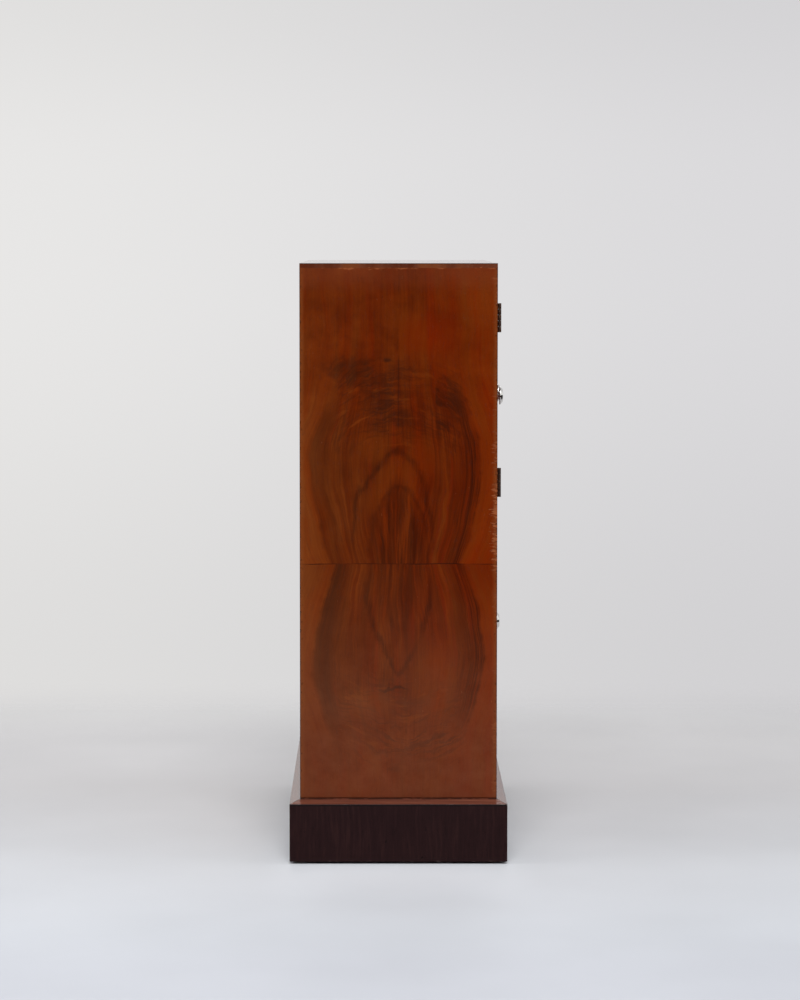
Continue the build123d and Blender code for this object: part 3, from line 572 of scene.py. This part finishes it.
        # Painted shade: a dark line along the front and back arrises, where the rounded edges turn away from
        # the light.
        rim = 1 - f.rise(edge, 0.0006, 0.0022)
        colour = f.mix(rim * 0.6, colour, srgb(56, 26, 15))
        specks = f.rise(f.noise(f.join(y * 260, z * 130, x * 260), detail=2), 0.58, 0.66)
        colour = f.mix(specks * (1 - f.rise(edge, 0.002, 0.007)) * 0.55, colour, srgb(42, 18, 9))
        chips = f.noise(f.join(y * 70, z * 330, x * 70), detail=4, rough=0.62)
        scar = f.noise(f.join(y * 12, z * 16, x * 12), detail=2)
        stretch = f.rise(z, 0.47, 0.55) * (1 - f.rise(z, 0.62, 0.80))
        worn = chips + scar * 0.5 + stretch * 0.12 + f.line(z, 0.605, 0.010, 0.060) * 0.03 - front * 13
        worn = f.rise(worn, 0.80, 0.88) * (0.3 + 0.7 * stretch)
        top_wear = f.rise(chips + scar * 0.35 - head * 60, 0.64, 0.74)
        nicks = f.rise(f.noise(f.join(y * 330, z * 90, x * 330), detail=2), 0.76, 0.80)
        bare = worn.most(top_wear * 0.8).most(nicks * 0.6)
        colour = f.mix(bare * 0.7, colour, srgb(160, 90, 52))
        # Painted shade: a dark line along the foot of the side, in the gap where the case stands on the cap.
        foot_shade = f.line(foot, 0.0, 0.0012, 0.0028) * f.rise(chips, 0.30, 0.5)
        colour = f.mix(foot_shade * 0.65, colour, srgb(28, 11, 7))
        height = height - worn * 3 - nicks * 2 - foot_shade * 2
        rough = rough + worn * 0.2
        lining = f.rise(depth, 0.0165, 0.0175)
    if inner is not None:
        lining = f.rise(y, inner, inner + 0.002)
    if not lap:
        plain = f.ramp(streak, [(0.3, srgb(76, 30, 9)), (0.7, srgb(102, 43, 14))])
        colour = f.mix(lining * 0.85, colour, f.shade(plain, 0.84 + hair * 0.32))
        return f.close(colour, rough, height, depth=0.0002, Specular_IOR_Level=0.05)

    # The ends of the top have faded, and the joint with the side is rubbed pale.
    lap_edge = 0.008
    base = z - (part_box("top_panel")[1].z - lap_edge)
    end = f.rise(abs(x), half_width - 0.0012, half_width - 0.0004)
    faded = f.noise(f.join(y * 24, x * 24, 2.2), detail=3)
    faded = f.ramp(faded, [(0.36, srgb(86, 42, 27)), (0.5, srgb(106, 60, 41)), (0.64, srgb(126, 70, 40))])
    colour = f.mix(end * 0.7, colour, faded)
    rub = f.noise(f.join(x * 60, y * 60, z * 260), detail=4, rough=0.6)
    colour = f.mix(f.rise(rub - base * 60, 0.52, 0.62) * end * 0.7, colour, srgb(178, 104, 62))
    colour = f.mix(f.line(base, lap_edge - 0.0002, 0.0005, 0.0014) * end * 0.8, colour, srgb(40, 20, 14))
    return f.close(colour, rough, height, depth=0.00006, Specular_IOR_Level=0.35)


def along_side(x, y, z):
    return y, z


side_seam = 0.519
side_walnut = crotch_walnut("side crotch walnut", along_side, mid_depth, side_seam, side=True)
for hand in ("left", "right"):
    dress(f"{hand}_side", side_walnut, ease=0.0005)


# Bottom, divider and shelf: solid walnut boards, grain along the width, planed and oiled. The two fixed
# boards are dowelled between the sides; the shelf lies on four turned brass pegs pushed into the sides.
f = Finish("plain walnut")
x, y, z = f.place()
wander = f.noise(f.join(x * 2.5, y * 9, z * 9), detail=2)
ring = f.noise(f.join(x * 2.2, y * 60 + wander * 9, z * 60), detail=3, rough=0.55)
hair = f.noise(f.join(x * 30, y * 900, z * 900), detail=2)
pores = f.rise(f.noise(f.join(x * 60, y * 1800, z * 1800), detail=1), 0.64, 0.73)
colour = f.ramp(ring, [(0.3, srgb(70, 30, 13)), (0.5, srgb(94, 43, 19)), (0.7, srgb(118, 60, 29))])
colour = f.mix(pores * 0.5, f.shade(colour, 0.82 + hair * 0.36), srgb(44, 22, 13))
plain_walnut = f.close(colour, 0.42 + ring * 0.15, ring * 0.4 - pores, depth=0.0002, Specular_IOR_Level=0.15)
for node in ("bottom_panel", "divider", "shelf"):
    dress(node, plain_walnut, ease=0.0006)


def brass_finish(name):
    """Old turned brass: fine tool rings, dulled in patches."""
    f = Finish(name)
    x, y, z = f.place()
    dull = f.noise(f.join(x * 240, y * 240, z * 240), detail=3)
    tool = f.noise(f.join(x * 2500, y * 2500, z * 2500), detail=1)
    colour = f.ramp(dull, [(0.3, srgb(120, 86, 40)), (0.6, srgb(182, 142, 76)), (0.8, srgb(206, 170, 104))])
    return f.close(colour, 0.42 - dull * 0.2, tool, depth=0.00003, Metallic=1.0)


brass = brass_finish("old brass")
dress("shelf_pegs", brass, ease=0.0003)


# Dowels: beech pegs, glued into the sides and into the ends of the bottom, the divider and the top. They hold
# the case square, and none of them shows once it is closed.
dress("case_dowels", beech_wide)


# Top: a veneered board lapped over the ends of the sides. Its leaves are matched at mid width, and the
# joint with the sides has crept through the finish as a broken line, rubbed pale in places.
def along_top(x, y, z):
    return y, x


top_walnut = crotch_walnut("top crotch walnut", along_top, mid_depth, 0.0, spread=1.15, polish=0.03, lap=True)
dress("top_panel", top_walnut, ease=0.0006)


# Back: one sheet of thin rotary-cut plywood, left bare. It is let into rebates in the sides, the top and the
# bottom, and slotted screws hold it up both sides and along the divider.
def plywood(name, turn):
    """Rotary-cut plywood: wild, pale cathedral figure and small patches of stain."""
    f = Finish(name)
    across, along, through = turn(*f.place())
    peeled = f.noise(f.join(across * 2.6, along * 0.7), detail=2, rough=0.4)
    slope = peeled * 26 + f.noise(f.join(across * 60, along * 4), detail=3) * 0.5
    ring = slope.sum("FRACT", slope)
    hair = f.noise(f.join(across * 700, along * 14), detail=3)
    colour = f.ramp(ring, [(0.0, srgb(172, 132, 92)), (0.55, srgb(160, 119, 80)),
                           (0.92, srgb(132, 94, 60)), (1.0, srgb(168, 128, 88))])
    colour = f.shade(colour, 0.80 + hair * 0.40)
    stain = f.rise(f.noise(f.join(across * 4, along * 3, 5), detail=4), 0.55, 0.75)
    colour = f.mix(stain * 0.25, colour, srgb(96, 66, 44))
    layer = through * 2600
    ply = f.rise(layer.sum("SINE", layer), -0.2, 0.2)
    height = ring * 0.4 + hair * 0.3 + ply * 0.05
    return f.close(colour, 0.62 + hair * 0.1, height, depth=0.0002, Specular_IOR_Level=0.3)


back_plywood = plywood("back plywood", lambda x, y, z: (x, z, y))
dress("back_panel", back_plywood, ease=0.0004)
screws("back_screws", "cabinet", lambda middle: Vector((0, 1, 0)), steel)


# Drawer runners and stops: beech strips screwed to the sides under the drawer's sides, and two small
# blocks glued behind its front.
for hand in ("left", "right"):
    dress(f"{hand}_runner", beech_deep, ease=0.0006)
dress("drawer_stops", beech_deep, ease=0.0006)


def inward(middle):
    return Vector((1 if middle.x < 0 else -1, 0, 0))


screws("runner_screws", "cabinet", inward, steel)


# Hinges: four 50 mm butts, rolled from sheet and bronzed nearly black, let into the case and the door
# edges. Handling has rubbed the barrels down to a warmer brown.
f = Finish("dark bronze")
x, y, z = f.place()
mottle = f.noise(f.join(x * 260, y * 260, z * 260), detail=3)
grit = f.noise(f.join(x * 1500, y * 1500, z * 1500), detail=2)
colour = f.ramp(mottle, [(0.35, srgb(40, 21, 13)), (0.55, srgb(56, 33, 21)), (0.75, srgb(92, 62, 40))])
height = grit * 0.6 + mottle
bronze = f.close(colour, 0.60 - mottle * 0.2, height, depth=0.00005, Metallic=0.35, Specular_IOR_Level=0.3)
for hand in ("left", "right"):
    for level in ("upper", "lower"):
        for part in ("case_leaf", "door_leaf", "hinge_pin"):
            dress(f"{hand}_{level}_{part}", bronze, ease=0.0001)
screws("case_leaf_screws", "cabinet", inward, bronze, head=0.0025, shank=0.0013)


# Doors: two veneered boards hung flush between the sides. Their leaves and the drawer front's are cut from
# one flitch and matched about the meeting line and the divider.
def along_front(x, y, z):
    return x, z


front_seam = 0.5735
door_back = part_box("left_door_panel")[1].y
front_walnut = crotch_walnut(
    "front crotch walnut", along_front, 0.0, front_seam, spread=1.7, inner=door_back - 0.003)
for hand, sign in (("left", -1), ("right", 1)):
    dress(f"{hand}_door_panel", front_walnut, ease=0.0006)
    screws(f"{hand}_door_leaf_screws", f"{hand}_door", lambda middle, sign=sign: Vector((sign, 0, 0)),
           bronze, head=0.0025, shank=0.0013)


# Knobs: turned brass, chromium plated, with a coned head on a short waisted neck. A bolt through the
# door or drawer front draws each one up tight.
f = Finish("chrome plate")
x, y, z = f.place()
smear = f.noise(f.join(x * 120, y * 120, z * 120), detail=3)
scratch = f.noise(f.join(x * 1800, y * 300, z * 1800), detail=2)
colour = f.mix(f.rise(smear, 0.55, 0.75) * 0.35, srgb(226, 224, 222), srgb(188, 180, 174))
chrome = f.close(colour, 0.07 + f.rise(smear, 0.5, 0.8) * 0.12, scratch, depth=0.000004, Metallic=1.0)


def rounded(corners, radius, steps=5):
    """The corner points of a profile with each inner corner turned over a small arc."""
    line = [Vector(corners[0])]
    for a, b, c in zip(corners, corners[1:], corners[2:]):
        a, b, c = Vector(a), Vector(b), Vector(c)
        start = b + (a - b).normalized() * min(radius, (a - b).length * 0.45)
        end = b + (c - b).normalized() * min(radius, (c - b).length * 0.45)
        for i in range(steps + 1):
            t = i / steps
            line.append(start * (1 - t) ** 2 + b * 2 * t * (1 - t) + end * t * t)
    return line + [Vector(corners[-1])]


def turned_knob(name, node, body):
    """A knob turned about the axis of its CAD node, flat at its root and coned at its head."""
    low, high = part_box(node)
    middle_x, middle_z, root = (low.x + high.x) / 2, (low.z + high.z) / 2, high.y
    # Radius and reach of each corner, in millimetres.
    outline = [(0, 0), (10, 0), (10, 1.8), (7.7, 1.8), (7.0, 4.5), (6.9, 8.4), (7.1, 12), (7.7, 15), (15.7, 15),
               (16.5, 15.8), (16.5, 17.0), (11.5, 21.3), (6, 22.05), (0, 22.3)]
    profile = rounded([(r / 1000, reach / 1000) for r, reach in outline], radius=0.0006)
    count = 72
    turns = [(math.cos(2 * math.pi * i / count), math.sin(2 * math.pi * i / count)) for i in range(count)]
    made = bmesh.new()
    rings = []
    for radius, reach in profile:
        around = turns if radius > 1e-7 else [(0, 0)]
        spots = [(middle_x + radius * c, root - reach, middle_z + radius * s) for c, s in around]
        rings.append([made.verts.new(spot) for spot in spots])
    for ring, following in zip(rings, rings[1:]):
        for i in range(count):
            j = (i + 1) % count
            steps = ((ring, i), (ring, j), (following, j), (following, i))
            corners = [band[k % len(band)] for band, k in steps]
            made.faces.new(list(dict.fromkeys(corners)))
    bmesh.ops.recalc_face_normals(made, faces=made.faces)
    for face in made.faces:
        face.smooth = True
    mesh = bpy.data.meshes.new(name)
    made.to_mesh(mesh)
    made.free()
    mesh.materials.append(chrome)
    piece = bpy.data.objects.new(name, mesh)
    bpy.context.scene.collection.objects.link(piece)
    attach(piece, body)
    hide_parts(node)


for hand in ("left", "right"):
    turned_knob(f"{hand}_turned_knob", f"{hand}_door_knob", f"{hand}_door")
    dress(f"{hand}_knob_bolt", steel, ease=0.0003)


# Catches: a turned brass stud screwed into each door near its top, gripped by a clip of sprung brass strip.
# Each clip is screwed up under the top panel.
for hand in ("left", "right"):
    for part in ("stud", "clip"):
        dress(f"{hand}_catch_{part}", brass, ease=0.0002)
screws("catch_clip_screws", "cabinet", lambda middle: Vector((0, 0, -1)), steel)


# Drawer: a beech box, dovetailed at all four corners, behind a veneered front, with a plywood bottom slid
# into grooves and screwed up into the back.
dress("drawer_front", front_walnut, ease=0.0006)
for hand in ("left", "right"):
    dress(f"drawer_{hand}_side", beech_deep, ease=0.0005)
dress("drawer_back", beech_wide, ease=0.0005)
drawer_plywood = plywood("drawer plywood", lambda x, y, z: (y, x, z))
dress("drawer_bottom", drawer_plywood, ease=0.0004)
screws("drawer_bottom_screws", "drawer", lambda middle: Vector((0, 0, -1)), steel)
turned_knob("drawer_turned_knob", "drawer_knob", "drawer")
dress("drawer_knob_bolt", steel, ease=0.0003)


# Floor: a plain painted floor whose tone carries painted light and shade: darker and warmer far behind,
# brightest just before the cabinet, darker and bluer in front, a little darker towards -y, and paler before the
# foot, where painted light takes away the cabinet's shadow. It ends softly some way behind the cabinet, where
# the wall begins.
f = Finish("pale floor")
x, y, z = f.place()
edge = (abs(x + 0.6) ** 8 + abs(y) ** 8) ** 0.125
fade = f.rise(edge, 1.40, 2.36)
mottle = f.noise(f.join(x * 3, y * 3), detail=3)
tint = f.ramp(mottle, [(0.3, srgb(194, 195, 198)), (0.7, srgb(199, 200, 203))])
# Painted light: the floor just before the foot is made paler, which takes away the cabinet's shadow there.
before = f.rise(-x, 0.20, 0.36) * (1 - f.rise(-x, 0.36, 0.71)) * (1 - f.rise(abs(y), 0.12, 0.25))
# Painted shade: the floor a little darker towards -y.
tint = f.shade(tint, 1 - f.rise(-y, 0.2, 0.5) * 0.07 + before * 0.22)
# Painted light and shade along the depth: darker and warmer behind, brightest just before the cabinet, darker
# and bluer in front.
painted_light_sweep = f.ramp((1 - x) / 2.2, [
    (0.05, (0.90, 0.88, 0.865)), (0.28, (0.89, 0.87, 0.86)), (0.60, (0.97, 0.98, 0.995)),
    (0.85, (0.92, 0.945, 0.98)), (0.96, (0.885, 0.905, 0.95))])
tint = f.mix(1.0, tint, painted_light_sweep, "MULTIPLY")
paint = f.node("ShaderNodeBsdfPrincipled", None, {"Base Color": tint, "Roughness": 0.7})
clear = f.node("ShaderNodeBsdfTransparent")
f.show(f.node("ShaderNodeMixShader", None, {0: fade, 1: paint, 2: clear}))
floor_front, floor_back, floor_side = -3, 1.8, 2.4
floor_corners = [(floor_front, -floor_side, 0), (floor_back, -floor_side, 0),
                 (floor_back, floor_side, 0), (floor_front, floor_side, 0)]
floor_mesh = bpy.data.meshes.new("floor")
floor_mesh.from_pydata(floor_corners, [], [(0, 1, 2, 3)])
floor_mesh.materials.append(f.material)
floor = bpy.data.objects.new("floor", floor_mesh)
bpy.context.scene.collection.objects.link(floor)


# Light: an even room light, one large soft lamp high behind the camera, and three weaker ones on the other
# sides. The wall is the pale background that the camera sees. Polished things see it too, and on the camera's
# side a room that is dark low down and bright above.
world = bpy.data.worlds.new("studio")
bpy.context.scene.world = world
f = Finish("studio", world)
way = f.node("ShaderNodeSeparateXYZ", None, {0: f.node("ShaderNodeTexCoord", out=0)})
way_x, way_y, way_z = (Wire(f, way.socket.node.outputs[i]) for i in range(3))
rise_of_way = way_z * 0.5 + 0.5
rays = f.node("ShaderNodeLightPath").socket.node.outputs
camera_ray, glossy_ray, clear_ray = (
    Wire(f, rays[f"Is {kind} Ray"]) for kind in ("Camera", "Glossy", "Transmission"))
wall = f.mix(f.rise(way_y, -0.15, 0.15), srgb(215, 214, 216), srgb(228, 227, 226))
level = f.rise(way_z, -0.15, -0.01) * (1 - f.rise(way_z, 0.02, 0.09) * 0.8)
wall = f.shade(wall, 0.946 + level * 0.094)
room = f.ramp(rise_of_way, [
    (0.40, srgb(70, 66, 64)), (0.47, srgb(16, 15, 15)), (0.505, srgb(24, 23, 23)),
    (0.535, srgb(250, 250, 248)), (0.76, srgb(250, 250, 248)), (0.86, srgb(112, 116, 112))])
seen = f.mix(f.rise(way_x, 0.25, 0.6), room, wall)
shown = f.mix(camera_ray, seen, wall)
looked_at = camera_ray.most(glossy_ray).most(clear_ray)
sky = f.ramp(rise_of_way, [
    (0.45, srgb(120, 120, 121)), (0.60, srgb(172, 172, 173)), (0.85, srgb(208, 208, 209))])
behind_camera = (1 - f.rise(way_x, -0.3, 0.2)) * (1 - f.rise(way_z, 0.25, 0.6))
sky = f.mix(behind_camera, sky, srgb(84, 84, 85))
light = f.mix(looked_at, sky, shown)
background = f.node("ShaderNodeBackground", None, {"Color": light, "Strength": 1.0})
out = f.tree.nodes.new("ShaderNodeOutputWorld")
f.tree.links.new(background.socket, out.inputs["Surface"])


def lamp(name, place, aim, size, power):
    made = bpy.data.lights.new(name, "AREA")
    made.shape, made.size, made.energy = "DISK", size, power
    holder = bpy.data.objects.new(name, made)
    bpy.context.scene.collection.objects.link(holder)
    holder.location = place
    holder.rotation_euler = (Vector(aim) - Vector(place)).to_track_quat("-Z", "Y").to_euler()


lamp("key lamp", (-5.6, 0.0, 6.4), aim=(0, 0, 0.45), size=4.2, power=490)
lamp("front lamp", (-0.4, -4.2, 3.4), aim=(0, 0, 0.5), size=2.6, power=50)
lamp("rear lamp", (-0.4, 4.2, 3.4), aim=(0, 0, 0.5), size=2.6, power=50)
lamp("far lamp", (4.2, 0.0, 3.6), aim=(0, 0, 0.5), size=2.6, power=45)


# Camera: a long lens, a little above the top of the cabinet and square to its left side, dipped by a few
# degrees. A small shift of the lens frames the cabinet as the photograph does.
eye = bpy.data.cameras.new("camera")
eye.lens, eye.sensor_width = 107.29, 36
eye.shift_x, eye.shift_y = 0.0229, -0.08
eye.clip_end = 100
camera = bpy.data.objects.new("camera", eye)
bpy.context.scene.collection.objects.link(camera)
camera.location = (-5.4573, 0.0390, 1.0817)
dip = 0.0615
camera.rotation_euler = Vector((math.cos(dip), 0, -math.sin(dip))).to_track_quat("-Z", "Y").to_euler()
bpy.context.scene.camera = camera
bpy.context.scene.view_settings.view_transform = "Standard"
